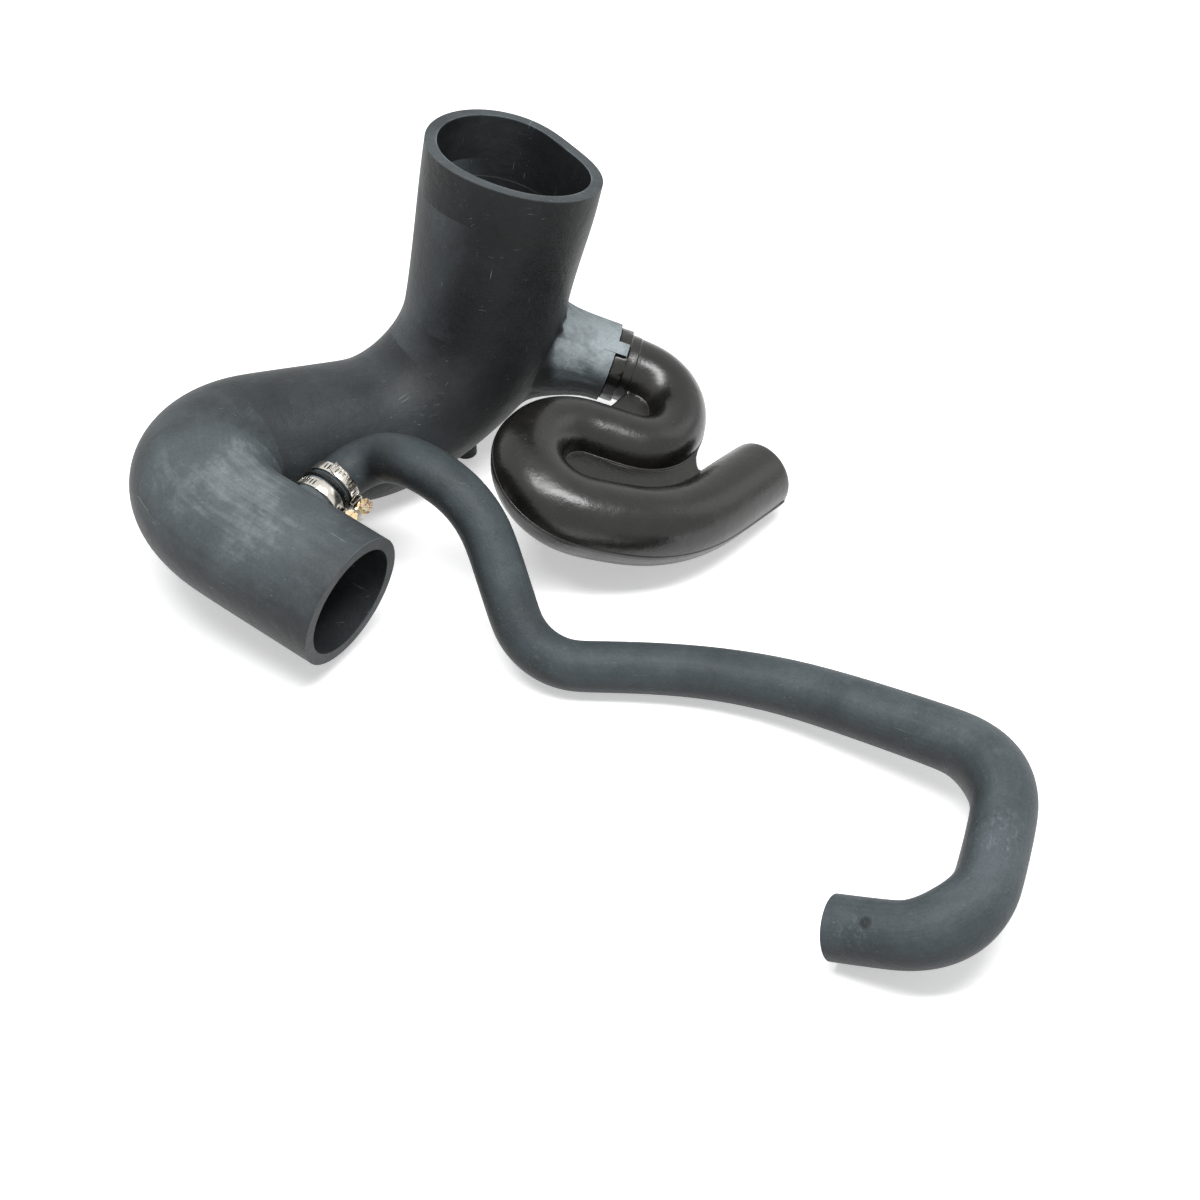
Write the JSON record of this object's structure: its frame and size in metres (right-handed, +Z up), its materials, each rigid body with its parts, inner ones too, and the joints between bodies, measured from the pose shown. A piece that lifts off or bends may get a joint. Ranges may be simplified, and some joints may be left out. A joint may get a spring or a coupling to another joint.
{
  "type": "air_intake_hose",
  "caption": "Engine air intake hose: black moulded rubber elbow duct with a glossy serpentine resonator pipe and a clamped rubber breather hose",
  "frame": {"origin": "centre of the footprint at floor level, with the hose lying as it rests on a bench", "axes": "+Z up, +X to the right and +Y to the rear as the part lies with the large open mouth up and the breather hose in front"},
  "size_m": [0.5242, 0.5282, 0.2224],
  "materials": {
    "epdm_rubber": "moulded, matt, with pale bloom",
    "hose_rubber": "moulded, matt",
    "blow_moulded_plastic": "blow moulded, glossy",
    "joiner_plastic": "moulded, smooth",
    "band_steel": "rolled stainless strip",
    "housing_steel": "pressed stainless",
    "yellow_zinc_screw": "yellow passivated zinc"
  },
  "bodies": {
    "root": {"intake_duct": "epdm_rubber", "resonator_pipe": "blow_moulded_plastic", "hose_joiner": "joiner_plastic", "breather_hose": "hose_rubber", "duct_clamp_band": "band_steel", "duct_clamp_saddle": "band_steel", "duct_clamp_housing": "housing_steel", "duct_clamp_screw": "yellow_zinc_screw", "hose_clamp_band": "band_steel", "hose_clamp_saddle": "band_steel", "hose_clamp_housing": "housing_steel", "hose_clamp_screw": "yellow_zinc_screw"}
  },
  "joints": []
}
